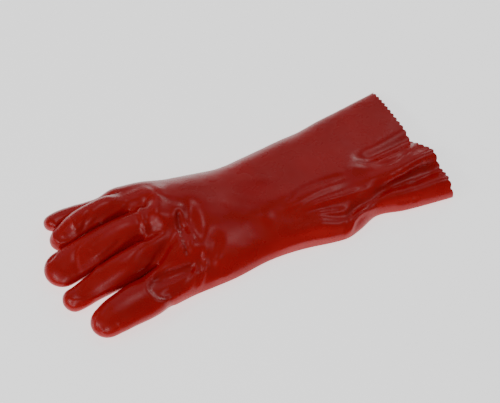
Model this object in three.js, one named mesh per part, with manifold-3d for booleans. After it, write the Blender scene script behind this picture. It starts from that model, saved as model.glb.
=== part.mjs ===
// A long work glove for the right hand, knitted and dipped in PVC, empty, lying palm down.
// The fingers point to -X, the cuff opens to +X, the thumb lies on the -Y side, and +Z is up.
// All lengths are in millimetres.
import * as THREE from "three";
import { mergeVertices } from "three/addons/utils/BufferGeometryUtils.js";
import Module from "manifold-3d";

// Driving sizes of the gauntlet and the hand, as the glove lies
const gauntletLength = 303; // from the webs between the fingers to the cuff edge
const cuffWidth = 158;
const wristWidth = 120;
const handWidth = 138; // over the knuckles, with the root of the thumb
const cuffHeight = 22;
const wristHeight = 32;
const knuckleHeight = 42;
const edgeHeight = 10; // over the rounded fold at each long side
const palmArch = 5; // clear height under the palm
const fingerGap = 0.8; // between neighbouring digits where they leave their web
const wall = 1.5;

// Lengths of the digits from the line of the webs, and their widths and thicknesses
const thumbLength = 81;
const thumbWidth = 44;
const thumbThickness = 26;
const indexLength = 95;
const indexWidth = 33;
const indexThickness = 26;
const middleLength = 99;
const middleWidth = 40;
const middleThickness = 25;
const ringLength = 81;
const ringWidth = 27;
const ringThickness = 22;
const littleLength = 78;
const littleWidth = 23;
const littleThickness = 16;

// The pinked cuff edge
const pinkPitch = 6.5;
const pinkDepth = 1.8;

// How the skin turns at its folded edges, webs and tips
const edgeTurn = 0.16; // share of the half turn at which the upper skin meets the side fold
const underTurn = 1.3; // run of the underside's rounded edge, in heights of the fold
const sideShare = 0.4; // how much of the arch under the palm the side folds rise with it
const settleShare = 0.22; // share of a digit's length over which it takes its own round section
const capShare = 0.42; // length of a digit's round tip, as a share of its width
const webShare = 0.25; // how far the crotch between two digits stands out, in walls
const foldEnd = 0.6; // share of its lift that a fold keeps at its two ends
const foldRise = 4; // how fast it gains the rest
const evenFrom = 0.02; // where the columns leave the digits' roots, along the gauntlet
const evenTo = 0.28; // where they have evened out

// Fineness of the faceted skin
const columnsPerDigit = 5;
const bodyRows = 36;
const digitRows = 10;
const foldSteps = 12;
const pinkSteps = 3;
const firstRow = 0.03; // share of a digit's length from the web to its first row
const rowDraw = 1.08; // above 1 draws the body's rows together towards the webs
const tipDraw = 1.05; // the same for a digit's rows towards its tip
const tangentStep = 0.02; // share of a digit's length over which its direction is measured
const capLimit = 0.995; // how far into the round tip the last row may reach

// The body's cross sections. Place along: share of the gauntlet's length from the webs. Near and far
// edge, crest: lengths from the axis and the floor. Fullness: 1 is an ellipse, 2 a thin lens.
const sections = [
  {
    along: 0.0, near: -0.62 * handWidth, far: 0.465 * handWidth, crest: 0.9 * knuckleHeight,
    lean: 0.53, lens: 0.75, under: 1.0 * palmArch,
  },
  {
    along: 0.07, near: -0.605 * handWidth, far: 0.435 * handWidth, crest: 1.0 * knuckleHeight,
    lean: 0.55, lens: 0.85, under: 1.0 * palmArch,
  },
  {
    along: 0.14, near: -0.6 * handWidth, far: 0.39 * handWidth, crest: 0.98 * knuckleHeight,
    lean: 0.55, lens: 0.95, under: 0.7 * palmArch,
  },
  {
    along: 0.22, near: -0.59 * handWidth, far: 0.37 * handWidth, crest: 0.9 * knuckleHeight,
    lean: 0.53, lens: 1.0, under: 0.25 * palmArch,
  },
  {
    along: 0.34, near: -0.64 * wristWidth, far: 0.385 * wristWidth, crest: 1.0 * wristHeight,
    lean: 0.5, lens: 1.05, under: 0,
  },
  {
    along: 0.45, near: -0.655 * wristWidth, far: 0.41 * wristWidth, crest: 0.94 * wristHeight,
    lean: 0.48, lens: 1.1, under: 0,
  },
  {
    along: 0.6, near: -0.5475 * cuffWidth, far: 0.346 * cuffWidth, crest: 0.86 * wristHeight,
    lean: 0.45, lens: 1.15, under: 0,
  },
  {
    along: 0.66, near: -0.522 * cuffWidth, far: 0.355 * cuffWidth, crest: 0.82 * wristHeight,
    lean: 0.43, lens: 1.18, under: 0,
  },
  {
    along: 0.735, near: -0.472 * cuffWidth, far: 0.38 * cuffWidth, crest: 1.12 * cuffHeight,
    lean: 0.41, lens: 1.2, under: 0,
  },
  {
    along: 0.83, near: -0.513 * cuffWidth, far: 0.407 * cuffWidth, crest: 1.06 * cuffHeight,
    lean: 0.4, lens: 1.2, under: 0,
  },
  {
    along: 1.0, near: -0.555 * cuffWidth, far: 0.454 * cuffWidth, crest: 1.0 * cuffHeight,
    lean: 0.38, lens: 1.2, under: 0,
  },
];

// The digits, from the thumb to the little finger. Far: where the digit's far web stands across the
// hand. In each row the middle line's place along is a share of the digit's length.
const digits = [
  {
    length: thumbLength,
    far: -0.333 * handWidth,
    rows: [
      {
        along: 0.0, across: -0.486 * handWidth, lift: 0.33 * knuckleHeight,
        wide: 0.9 * thumbWidth, thick: 1.0 * thumbThickness, roll: 0,
      },
      {
        along: 0.32, across: -0.508 * handWidth, lift: 0.315 * knuckleHeight,
        wide: 1.0 * thumbWidth, thick: 0.97 * thumbThickness, roll: 0,
      },
      {
        along: 0.57, across: -0.528 * handWidth, lift: 0.294 * knuckleHeight,
        wide: 0.92 * thumbWidth, thick: 0.9 * thumbThickness, roll: 0,
      },
      {
        along: 0.72, across: -0.543 * handWidth, lift: 0.266 * knuckleHeight,
        wide: 0.86 * thumbWidth, thick: 0.82 * thumbThickness, roll: 0,
      },
      {
        along: 0.82, across: -0.556 * handWidth, lift: 0.242 * knuckleHeight,
        wide: 0.78 * thumbWidth, thick: 0.75 * thumbThickness, roll: 0,
      },
      {
        along: 1.0, across: -0.578 * handWidth, lift: 0.205 * knuckleHeight,
        wide: 0.7 * thumbWidth, thick: 0.64 * thumbThickness, roll: 0,
      },
    ],
  },
  {
    length: indexLength,
    far: -0.113 * handWidth,
    rows: [
      {
        along: 0.0, across: -0.224 * handWidth, lift: 0.531 * knuckleHeight,
        wide: 0.9 * indexWidth, thick: 1.255 * indexThickness, roll: 0,
      },
      {
        along: 0.3, across: -0.244 * handWidth, lift: 0.445 * knuckleHeight,
        wide: 1.0 * indexWidth, thick: 1.113 * indexThickness, roll: 0,
      },
      {
        along: 0.48, across: -0.253 * handWidth, lift: 0.37 * knuckleHeight,
        wide: 0.96 * indexWidth, thick: 0.963 * indexThickness, roll: 0,
      },
      {
        along: 0.68, across: -0.267 * handWidth, lift: 0.28 * knuckleHeight,
        wide: 0.84 * indexWidth, thick: 0.78 * indexThickness, roll: 0,
      },
      {
        along: 0.84, across: -0.284 * handWidth, lift: 0.215 * knuckleHeight,
        wide: 0.78 * indexWidth, thick: 0.68 * indexThickness, roll: 0,
      },
      {
        along: 1.0, across: -0.288 * handWidth, lift: 0.198 * knuckleHeight,
        wide: 0.75 * indexWidth, thick: 0.62 * indexThickness, roll: 0,
      },
    ],
  },
  {
    length: middleLength,
    far: 0.148 * handWidth,
    rows: [
      {
        along: 0.0, across: 0.018 * handWidth, lift: 0.555 * knuckleHeight,
        wide: 0.86 * middleWidth, thick: 1.385 * middleThickness, roll: 0,
      },
      {
        along: 0.33, across: 0.01 * handWidth, lift: 0.467 * knuckleHeight,
        wide: 0.93 * middleWidth, thick: 1.21 * middleThickness, roll: 0,
      },
      {
        along: 0.49, across: -0.001 * handWidth, lift: 0.405 * knuckleHeight,
        wide: 0.97 * middleWidth, thick: 1.08 * middleThickness, roll: 0,
      },
      {
        along: 0.62, across: -0.01 * handWidth, lift: 0.349 * knuckleHeight,
        wide: 1.0 * middleWidth, thick: 0.93 * middleThickness, roll: 0,
      },
      {
        along: 0.8, across: -0.022 * handWidth, lift: 0.28 * knuckleHeight,
        wide: 1.02 * middleWidth, thick: 0.78 * middleThickness, roll: 0,
      },
      {
        along: 1.0, across: -0.032 * handWidth, lift: 0.205 * knuckleHeight,
        wide: 0.97 * middleWidth, thick: 0.69 * middleThickness, roll: 0,
      },
    ],
  },
  {
    length: ringLength,
    far: 0.342 * handWidth,
    rows: [
      {
        along: 0.0, across: 0.258 * handWidth, lift: 0.513 * knuckleHeight,
        wide: 1.0 * ringWidth, thick: 1.5 * ringThickness, roll: -4,
      },
      {
        along: 0.34, across: 0.258 * handWidth, lift: 0.477 * knuckleHeight,
        wide: 1.07 * ringWidth, thick: 1.37 * ringThickness, roll: -6,
      },
      {
        along: 0.55, across: 0.254 * handWidth, lift: 0.426 * knuckleHeight,
        wide: 1.08 * ringWidth, thick: 1.26 * ringThickness, roll: -6,
      },
      {
        along: 0.69, across: 0.244 * handWidth, lift: 0.366 * knuckleHeight,
        wide: 1.04 * ringWidth, thick: 1.08 * ringThickness, roll: -6,
      },
      {
        along: 0.86, across: 0.218 * handWidth, lift: 0.28 * knuckleHeight,
        wide: 0.93 * ringWidth, thick: 0.82 * ringThickness, roll: -5,
      },
      {
        along: 1.0, across: 0.21 * handWidth, lift: 0.21 * knuckleHeight,
        wide: 0.88 * ringWidth, thick: 0.76 * ringThickness, roll: 0,
      },
    ],
  },
  {
    length: littleLength,
    far: 0.465 * handWidth,
    rows: [
      {
        along: 0.0, across: 0.41 * handWidth, lift: 0.3 * knuckleHeight,
        wide: 0.74 * littleWidth, thick: 1.1 * littleThickness, roll: -25,
      },
      {
        along: 0.22, across: 0.41 * handWidth, lift: 0.2 * knuckleHeight,
        wide: 0.8 * littleWidth, thick: 0.8 * littleThickness, roll: -36,
      },
      {
        along: 0.4, across: 0.412 * handWidth, lift: 0.2 * knuckleHeight,
        wide: 0.84 * littleWidth, thick: 0.82 * littleThickness, roll: -38,
      },
      {
        along: 0.59, across: 0.412 * handWidth, lift: 0.214 * knuckleHeight,
        wide: 0.94 * littleWidth, thick: 0.9 * littleThickness, roll: -38,
      },
      {
        along: 0.81, across: 0.405 * handWidth, lift: 0.22 * knuckleHeight,
        wide: 0.98 * littleWidth, thick: 0.95 * littleThickness, roll: -34,
      },
      {
        along: 1.0, across: 0.37 * handWidth, lift: 0.21 * knuckleHeight,
        wide: 1.0 * littleWidth, thick: 1.0 * littleThickness, roll: -25,
      },
    ],
  },
];

// Folds and dents of the upper skin. Each runs from one point past a bend to its end. A point is
// [share along the gauntlet from the webs, share across from the near edge]. Lift is the ridge's
// height, or the dent's depth below zero, and reach is its half width.
const folds = [
  {
    name: "web of thumb and index",
    from: [-0.03, 0.27], bend: [0.02, 0.28], to: [0.13, 0.47],
    lift: -0.2 * knuckleHeight, reach: 0.07 * handWidth,
  },
  {
    name: "web of index and middle",
    from: [-0.02, 0.46], bend: [0.01, 0.46], to: [0.05, 0.47],
    lift: -0.2 * knuckleHeight, reach: 0.05 * handWidth,
  },
  {
    name: "web of middle and ring",
    from: [-0.02, 0.7], bend: [0.01, 0.7], to: [0.05, 0.7],
    lift: -0.18 * knuckleHeight, reach: 0.05 * handWidth,
  },
  {
    name: "web of ring and little",
    from: [-0.02, 0.87], bend: [0.01, 0.87], to: [0.06, 0.86],
    lift: -0.03 * knuckleHeight, reach: 0.045 * handWidth,
  },
  {
    name: "dent at the thumb root",
    from: [-0.01, 0.16], bend: [0.05, 0.15], to: [0.12, 0.17],
    lift: -0.2 * knuckleHeight, reach: 0.06 * handWidth,
  },
  {
    name: "knuckle ridge",
    from: [0.11, 0.8], bend: [0.08, 0.65], to: [0.05, 0.5],
    lift: 0.08 * knuckleHeight, reach: 0.05 * handWidth,
  },
  {
    name: "leaf dent behind the knuckles",
    from: [0.17, 0.6], bend: [0.15, 0.45], to: [0.14, 0.3],
    lift: -0.1 * knuckleHeight, reach: 0.05 * handWidth,
  },
  {
    name: "wrist crease",
    from: [0.2, 0.27], bend: [0.16, 0.16], to: [0.13, 0.05],
    lift: -0.1 * wristHeight, reach: 0.05 * wristWidth,
  },
  {
    name: "soft crest",
    from: [0.35, 0.32], bend: [0.6, 0.36], to: [0.9, 0.4],
    lift: 0.12 * wristHeight, reach: 0.13 * wristWidth,
  },
  {
    name: "gauntlet ridge",
    from: [0.42, 0.02], bend: [0.68, 0.09], to: [1.02, 0.3],
    lift: 0.3 * wristHeight, reach: 0.09 * wristWidth,
  },
  {
    name: "gauntlet valley",
    from: [0.58, 0.1], bend: [0.76, 0.14], to: [1.02, 0.21],
    lift: -0.4 * cuffHeight, reach: 0.05 * cuffWidth,
  },
  {
    name: "near lip",
    from: [0.7, 0.0], bend: [0.85, 0.07], to: [1.02, 0.07],
    lift: 0.3 * cuffHeight, reach: 0.05 * cuffWidth,
  },
  {
    name: "notch valley",
    from: [0.78, 0.42], bend: [0.88, 0.44], to: [1.03, 0.5],
    lift: -0.38 * cuffHeight, reach: 0.05 * cuffWidth,
  },
];

// The cuff line across the cuff, before pinking: share across, and how far it stands past the length.
const cuffLine = [
  { across: -0.05, past: -0.006 * gauntletLength },
  { across: 0.08, past: 0.001 * gauntletLength },
  { across: 0.2, past: 0.006 * gauntletLength },
  { across: 0.31, past: 0.002 * gauntletLength },
  { across: 0.43, past: -0.018 * gauntletLength },
  { across: 0.6, past: -0.024 * gauntletLength },
  { across: 0.8, past: -0.021 * gauntletLength },
  { across: 1.05, past: -0.014 * gauntletLength },
];

const skinMaterial = new THREE.MeshStandardMaterial({
  name: "red glossy PVC",
  color: 0x8c1a12,
  roughness: 0.3,
  metalness: 0,
});

// The value of one column of a table at a place along it, on a smooth curve through the rows.
function onCurve(rows, column, along, by = "along") {
  const last = rows.length - 1;
  let i = 0;
  while (i < last - 1 && along > rows[i + 1][by]) i += 1;
  const slope = (k) => {
    const a = rows[Math.max(k - 1, 0)];
    const b = rows[Math.min(k + 1, last)];
    return (b[column] - a[column]) / (b[by] - a[by]);
  };
  const span = rows[i + 1][by] - rows[i][by];
  const t = THREE.MathUtils.clamp((along - rows[i][by]) / span, 0, 1);
  const rest = 1 - t;
  return (
    rows[i][column] * (1 + 2 * t) * rest * rest +
    rows[i + 1][column] * (3 - 2 * t) * t * t +
    span * t * rest * (slope(i) * rest - slope(i + 1) * t)
  );
}

// The body's section at a place along it, as one object of lengths.
function sectionAt(along) {
  const place = THREE.MathUtils.clamp(along, 0, 1);
  const section = {};
  for (const column of ["near", "far", "crest", "lean", "lens", "under"]) {
    section[column] = onCurve(sections, column, place);
  }
  section.under = Math.max(section.under, 0);
  section.width = section.far - section.near;
  return section;
}

// How far the folds lift a point of the upper skin, from its shares along and across.
function foldLift(along, across, width) {
  let lift = 0;
  for (const fold of folds) {
    let nearest = Infinity;
    let place = 0;
    for (let i = 0; i <= foldSteps; i += 1) {
      const t = i / foldSteps;
      const u = 1 - t;
      const x = u * u * fold.from[0] + 2 * t * u * fold.bend[0] + t * t * fold.to[0];
      const y = u * u * fold.from[1] + 2 * t * u * fold.bend[1] + t * t * fold.to[1];
      const away = Math.hypot((x - along) * gauntletLength, (y - across) * width);
      if (away < nearest) {
        nearest = away;
        place = t;
      }
    }
    const fade = Math.min(1, foldEnd + foldRise * place, foldEnd + foldRise * (1 - place));
    lift += fold.lift * fade * Math.exp(-((nearest / fold.reach) ** 2));
  }
  return lift;
}

const columns = columnsPerDigit * digits.length;

// One point of the body's skin, above or below, at a share across from the near edge to the far one.
function bodyPoint(along, across, above) {
  const s = sectionAt(along);
  const x = along * gauntletLength;
  const y = s.near + s.width * across;
  const sideHeight = edgeHeight / 2 + s.under * sideShare;
  const fromEdge = Math.min(across, 1 - across) * s.width;
  if (above) {
    const leaned = across ** (Math.log(0.5) / Math.log(s.lean));
    const dome = (4 * leaned * (1 - leaned)) ** (s.lens / 2);
    const full = 1 - Math.exp(-fromEdge / edgeHeight);
    const lift = foldLift(along, across, s.width) * full;
    return new THREE.Vector3(x, y, sideHeight + (s.crest - sideHeight) * dome + lift);
  }
  const t = Math.min(1, fromEdge / (underTurn * edgeHeight));
  const round = Math.sqrt(1 - (1 - t) ** 2);
  return new THREE.Vector3(x, y, sideHeight + (s.under - sideHeight) * round);
}

// Shares across of the body's columns. At the webs they follow the digits' roots, and towards the
// wrist they even out.
function columnShares(along) {
  const root = sectionAt(0);
  const even = THREE.MathUtils.smoothstep(along, evenFrom, evenTo);
  const shares = [];
  const inset = 0.5 - 0.5 * Math.cos(Math.PI * edgeTurn * 0.5);
  for (let j = 0; j <= columns; j += 1) {
    const digit = Math.min(Math.floor(j / columnsPerDigit), digits.length - 1);
    const within = j / columnsPerDigit - digit;
    const from = digit === 0 ? 0 : (digits[digit - 1].far - root.near) / root.width;
    const to = digit === digits.length - 1 ? 1 : (digits[digit].far - root.near) / root.width;
    const rooted = THREE.MathUtils.clamp(from + (to - from) * within, inset, 1 - inset);
    const turn = edgeTurn / 2 + (1 - edgeTurn) * (j / columns);
    const round = 0.5 - 0.5 * Math.cos(Math.PI * turn);
    shares.push(rooted + (round - rooted) * even);
  }
  return shares;
}

// A loop of body points: the upper skin from near to far, the far edge, the underside from far to
// near, and the near edge.
function bodyLoop(along) {
  const shares = columnShares(along);
  const loop = shares.map((share) => bodyPoint(along, share, true));
  loop.push(bodyPoint(along, 1, true));
  for (const share of [...shares].reverse()) loop.push(bodyPoint(along, share, false));
  loop.push(bodyPoint(along, 0, true));
  return loop;
}

// A loop of a digit's points in the same order as the body's. Near its root it keeps the form of
// the root's own loop, drawn in by half the gap at each side.
function digitLoop(digit, along, rootLoop) {
  const at = {};
  const ahead = {};
  const measured = Math.min(along, 1 - tangentStep);
  for (const column of ["across", "lift", "wide", "thick", "roll"]) {
    at[column] = onCurve(digit.rows, column, along);
    ahead[column] =
      onCurve(digit.rows, column, measured + tangentStep) - onCurve(digit.rows, column, measured);
  }
  const forward = new THREE.Vector3(-tangentStep * digit.length, ahead.across, ahead.lift).normalize();
  const side = forward.clone().cross(new THREE.Vector3(0, 0, 1)).normalize();
  const up = side.clone().cross(forward);
  const roll = THREE.MathUtils.degToRad(at.roll);
  const major = side.clone().multiplyScalar(Math.cos(roll)).addScaledVector(up, Math.sin(roll));
  const minor = up.clone().multiplyScalar(Math.cos(roll)).addScaledVector(side, -Math.sin(roll));
  const cap = (capShare * at.wide) / digit.length;
  const intoCap = THREE.MathUtils.clamp((along - (1 - cap)) / cap, 0, capLimit);
  const shrink = Math.sqrt(1 - intoCap * intoCap);
  const middle = new THREE.Vector3(-along * digit.length, at.across, at.lift);
  const root = sectionAt(0);
  const point = (turn) => {
    const c = -Math.cos(Math.PI * turn);
    const s = Math.sin(Math.PI * turn);
    const p = middle
      .clone()
      .addScaledVector(major, 0.5 * at.wide * shrink * c)
      .addScaledVector(minor, 0.5 * at.thick * shrink * s);
    if (s > 0) {
      const share = (p.y - root.near) / root.width;
      p.z += s * foldLift(p.x / gauntletLength, share, root.width);
    }
    return p;
  };
  const turns = [];
  for (let j = 0; j <= columnsPerDigit; j += 1) {
    turns.push(edgeTurn + (1 - 2 * edgeTurn) * (j / columnsPerDigit));
  }
  const loop = [...turns, 1, ...turns.map((turn) => turn + 1), 0].map(point);
  const rootEdges = rootLoop.map((p) => p.y);
  const rootNear = Math.min(...rootEdges);
  const rootFar = Math.max(...rootEdges);
  const rootMiddle = (rootNear + rootFar) / 2;
  const drawnIn = 1 - fingerGap / (rootFar - rootNear);
  const settled = THREE.MathUtils.smoothstep(along, 0, settleShare);
  return loop.map((p, k) => {
    const held = rootLoop[k].clone();
    held.x -= along * digit.length;
    held.y = rootMiddle + (held.y - rootMiddle) * drawnIn;
    return held.lerp(p, settled);
  });
}

// The skin as one open surface: loops of the body, webs between the digits, and capped digits.
function skin() {
  const points = [];
  const faces = [];
  const add = (p) => points.push(p) - 1;
  const quad = (a, b, c, d) => faces.push([a, b, c], [a, c, d]);
  const between = (first, second) => {
    for (let k = 0; k < first.length; k += 1) {
      const next = (k + 1) % first.length;
      quad(first[k], second[k], second[next], first[next]);
    }
  };
  const rows = [];
  for (let r = 0; r <= bodyRows; r += 1) {
    const along = (r / bodyRows) ** rowDraw * (1 + (2 * pinkDepth + pinkPitch) / gauntletLength);
    rows.push(bodyLoop(along).map(add));
  }
  for (let r = 0; r < bodyRows; r += 1) between(rows[r], rows[r + 1]);
  const root = rows[0];
  const upperAt = (j) => root[j];
  const lowerAt = (j) => root[2 * columns + 2 - j];
  const farEdge = root[columns + 1];
  const nearEdge = root[2 * columns + 3];
  const webs = digits.slice(0, -1).map((digit, i) => {
    const top = points[upperAt((i + 1) * columnsPerDigit)];
    const bottom = points[lowerAt((i + 1) * columnsPerDigit)];
    const web = top.clone().lerp(bottom, 0.5);
    web.x -= webShare * wall;
    return add(web);
  });
  digits.forEach((digit, i) => {
    const first = i * columnsPerDigit;
    const loop = [];
    for (let j = 0; j <= columnsPerDigit; j += 1) loop.push(upperAt(first + j));
    loop.push(i === digits.length - 1 ? farEdge : webs[i]);
    for (let j = columnsPerDigit; j >= 0; j -= 1) loop.push(lowerAt(first + j));
    loop.push(i === 0 ? nearEdge : webs[i - 1]);
    const rootLoop = loop.map((k) => points[k]);
    let previous = loop;
    for (let r = 1; r <= digitRows; r += 1) {
      const quarter = (Math.PI / 2) * ((r - 1) / (digitRows - 0.5));
      const along = firstRow + (1 - firstRow) * Math.sin(quarter) ** tipDraw;
      const next = digitLoop(digit, along, rootLoop).map(add);
      between(next, previous);
      previous = next;
    }
    const tip = new THREE.Vector3();
    for (const k of previous) tip.addScaledVector(points[k], 1 / previous.length);
    tip.x = -digit.length;
    const pole = add(tip);
    for (let k = 0; k < previous.length; k += 1) {
      faces.push([pole, previous[k], previous[(k + 1) % previous.length]]);
    }
  });
  return { points, faces, rim: rows[bodyRows] };
}

// The skin with its thickness: an outer and an inner surface joined round the rim.
function thickened({ points, faces, rim }) {
  const normals = points.map(() => new THREE.Vector3());
  const edgeA = new THREE.Vector3();
  const edgeB = new THREE.Vector3();
  for (const [a, b, c] of faces) {
    edgeA.subVectors(points[b], points[a]);
    edgeB.subVectors(points[c], points[a]);
    const normal = edgeA.cross(edgeB);
    for (const k of [a, b, c]) normals[k].add(normal);
  }
  const count = points.length;
  const all = [...points];
  points.forEach((p, k) => all.push(p.clone().addScaledVector(normals[k].normalize(), -wall)));
  const triangles = [...faces];
  for (const [a, b, c] of faces) triangles.push([a + count, c + count, b + count]);
  for (let k = 0; k < rim.length; k += 1) {
    const a = rim[k];
    const b = rim[(k + 1) % rim.length];
    triangles.push([a, a + count, b + count], [a, b + count, b]);
  }
  const geometry = new THREE.BufferGeometry();
  geometry.setAttribute("position", new THREE.Float32BufferAttribute(all.flatMap((p) => p.toArray()), 3));
  geometry.setIndex(triangles.flat());
  return geometry;
}

// What the pinking shears take away: everything past the cuff line, with a scalloped edge.
function pinkingCutter() {
  const end = sectionAt(1);
  const first = cuffLine[0].across;
  const last = cuffLine[cuffLine.length - 1].across;
  const scallops = Math.round(((last - first) * end.width) / pinkPitch);
  const at = (share) => end.near + end.width * share;
  const past = gauntletLength + cuffWidth;
  const outline = new THREE.Shape();
  outline.moveTo(past, at(first));
  for (let i = 0; i <= scallops * pinkSteps; i += 1) {
    const share = first + ((last - first) * i) / (scallops * pinkSteps);
    const scallop = Math.abs(Math.sin((Math.PI * i) / pinkSteps));
    const line = onCurve(cuffLine, "past", share, "across");
    outline.lineTo(gauntletLength + line + pinkDepth * (scallop - 1), at(share));
  }
  outline.lineTo(past, at(last));
  outline.closePath();
  const height = cuffHeight + wristHeight;
  const cutter = new THREE.ExtrudeGeometry(outline, { depth: 2 * height, bevelEnabled: false, steps: 1 });
  cutter.translate(0, 0, -height / 2);
  return cutter;
}

const wasm = await Module();
wasm.setup();

// A closed geometry as a solid that can be cut.
function solidOf(geometry) {
  const bare = geometry.clone();
  bare.deleteAttribute("normal");
  bare.deleteAttribute("uv");
  const merged = mergeVertices(bare, 1e-4);
  return new wasm.Manifold(
    new wasm.Mesh({
      numProp: 3,
      vertProperties: new Float32Array(merged.attributes.position.array),
      triVerts: new Uint32Array(merged.index.array),
    }),
  );
}

// A solid back as a geometry.
function geometryOf(solid) {
  const mesh = solid.getMesh();
  const geometry = new THREE.BufferGeometry();
  geometry.setAttribute("position", new THREE.BufferAttribute(new Float32Array(mesh.vertProperties), 3));
  geometry.setIndex(new THREE.BufferAttribute(new Uint32Array(mesh.triVerts), 1));
  geometry.computeVertexNormals();
  return geometry;
}

const shell = solidOf(thickened(skin())).subtract(solidOf(pinkingCutter()));
const gloveGeometry = geometryOf(shell);
gloveGeometry.computeBoundingBox();
const box = gloveGeometry.boundingBox;
const glove = new THREE.Mesh(gloveGeometry, skinMaterial);
glove.name = "glove_shell";
glove.position.set(-(box.min.x + box.max.x) / 2, -(box.min.y + box.max.y) / 2, -box.min.z);

const root = new THREE.Group();
root.add(glove);

export default root;
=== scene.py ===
"""A long red PVC coated work glove for the right hand, empty, lying palm down.

The fingers point to -X, the cuff opens to +X, the thumb lies on the -Y side, and +Z is up.
"""
import math

import bpy
import numpy as np
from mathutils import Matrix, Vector


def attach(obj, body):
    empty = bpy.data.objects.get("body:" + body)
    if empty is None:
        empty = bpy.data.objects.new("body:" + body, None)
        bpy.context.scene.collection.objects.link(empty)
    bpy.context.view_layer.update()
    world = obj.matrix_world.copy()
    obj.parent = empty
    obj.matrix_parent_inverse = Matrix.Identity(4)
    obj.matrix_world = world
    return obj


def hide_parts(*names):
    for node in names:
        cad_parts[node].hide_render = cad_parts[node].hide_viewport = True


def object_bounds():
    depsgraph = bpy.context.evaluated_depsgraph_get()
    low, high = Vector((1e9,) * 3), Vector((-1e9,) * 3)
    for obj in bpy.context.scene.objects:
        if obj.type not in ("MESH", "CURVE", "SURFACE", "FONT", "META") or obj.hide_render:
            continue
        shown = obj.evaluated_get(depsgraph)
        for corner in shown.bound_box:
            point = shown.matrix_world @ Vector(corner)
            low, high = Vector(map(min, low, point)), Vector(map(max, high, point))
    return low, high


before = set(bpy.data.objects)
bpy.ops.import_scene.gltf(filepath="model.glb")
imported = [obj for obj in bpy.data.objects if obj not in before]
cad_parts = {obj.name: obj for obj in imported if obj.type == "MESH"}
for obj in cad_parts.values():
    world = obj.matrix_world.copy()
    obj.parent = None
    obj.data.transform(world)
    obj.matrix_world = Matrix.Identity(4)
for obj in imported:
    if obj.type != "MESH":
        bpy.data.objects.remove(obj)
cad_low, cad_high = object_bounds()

# Lengths are in millimetres of the glove where nothing else is said. The frame gives their scale.
CAD_LENGTH = 403.6  # from the tip of the middle finger to the cuff edge
MM = (cad_high.x - cad_low.x) / CAD_LENGTH

# Driving sizes of the gauntlet and the hand, as the glove lies
GAUNTLET = 303.0  # length from the webs between the fingers to the cuff edge
CUFF = 158.0
WRIST = 120.0
HAND = 138.0
CUFF_HEIGHT = 22.0
WRIST_HEIGHT = 32.0
KNUCKLE = 42.0
EDGE = 10.0  # height of the rounded fold at each long side
ARCH = 5.0  # clear height under the palm
FINGER_GAP = 0.8
WALL = 1.5
PINK_PITCH = 6.5  # length of one scallop of the pinked cuff
PINK_DEPTH = 1.8

# Lengths of the digits from the line of the webs, and their widths and thicknesses
THUMB, THUMB_WIDE, THUMB_THICK = 81.0, 44.0, 26.0
INDEX, INDEX_WIDE, INDEX_THICK = 95.0, 33.0, 26.0
MIDDLE, MIDDLE_WIDE, MIDDLE_THICK = 99.0, 40.0, 25.0
RING, RING_WIDE, RING_THICK = 81.0, 27.0, 22.0
LITTLE, LITTLE_WIDE, LITTLE_THICK = 78.0, 23.0, 16.0

# The glove's own axes in the frame: the line of the webs and the middle line of the gauntlet
WEB_X = cad_low.x / MM + MIDDLE
AXIS_Y = 11.29

# How the skin turns at its folded edges, webs and tips
EDGE_TURN = 0.16  # share of a half turn that each folded edge takes
UNDER_TURN = 1.3  # width of the fold below, in heights of the edge
SIDE_SHARE = 0.4  # share of the clear height under the palm by which the edges rise
SIDE_INSET = 0.3  # place of the points beside an edge, as a share of the first column's
SETTLE = 0.22  # share of a digit's length over which it takes its own form
CAP = 0.42  # length of a tip's rounding, in widths of the digit
CAP_LIMIT = 0.997  # how far into the rounding a loop may stand, so that it keeps a width
FOLD_END = 0.6  # share of a main fold's height that its ends keep
FOLD_RISE = 4.0  # how fast the height comes up from the ends
EVEN_FROM, EVEN_TO = 0.02, 0.28  # shares along between which the columns even out

# Fineness of the skin before it is subdivided
PER_DIGIT = 10  # columns of quads over each digit's root
SIDE = 3  # points round each folded edge, and down each web
BODY_ROWS = 74
BODY_CROWDING = 1.08  # above 1, rows stand closer at the webs
DIGIT_ROWS = 26
DIGIT_CROWDING = 1.05  # above 1, loops stand a little closer at the digit's root
FIRST_LOOP = 0.02  # share of a digit's length at which its first loop stands
LAST_STEP = 0.6  # counted off the rows, so that the last loop falls short of the tip
FOLD_STEPS = 24

# The small creases, rolls, dents and unevenness
HEIGHT_BLEND = 2.5  # reach over which the skin's height under a crease is averaged
CREASE_STEPS = 8  # steps between two given points, each with a height of its own
CREASE_FINER = 4  # steps between two of those
CREASE_SPAN = 3  # reaches past which a crease no longer counts
TAPER_FROM, TAPER_TO = -0.12, 0.3  # shares of a crease over which it comes up at each end
PIT_STEPS = 6  # steps between two corners of a dent's outline
PIT_SPAN = 45.0  # how far from its middle a dent reaches
UPWARD_FROM, UPWARD_TO = -0.05, 0.3  # rise of the normal over which creases fade in
TOP_RISE = 0.15  # rise of the normal from which the skin counts as upper skin
UNEVEN = [(0.22, 45.0, 3), (0.05, 14.0, 5)]  # height, wavelength and seed

# The cut of the pinking shears
SCALLOP_STEPS = 10
CUTTER_LOW, CUTTER_HIGH = -30.0, 80.0  # well below the underside and above the top
SHARP_ANGLE = 50.0  # in degrees: edges that bend more than this stay sharp

# Looks. Colours are linear red, green and blue.
RED_DEEP, RED_BRIGHT = (0.46, 0.006, 0.007), (0.53, 0.009, 0.01)
COTTON_DARK, COTTON_PALE = (0.5, 0.36, 0.32), (0.62, 0.5, 0.45)
FLOOR_COLOUR = (0.9, 0.9, 0.9)
FLOOR_GLOW = 1.2
WORLD_GLOW = 0.14
WAVE_RATE = 20.0  # radians for each metre of a wave texture at scale 1

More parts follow.
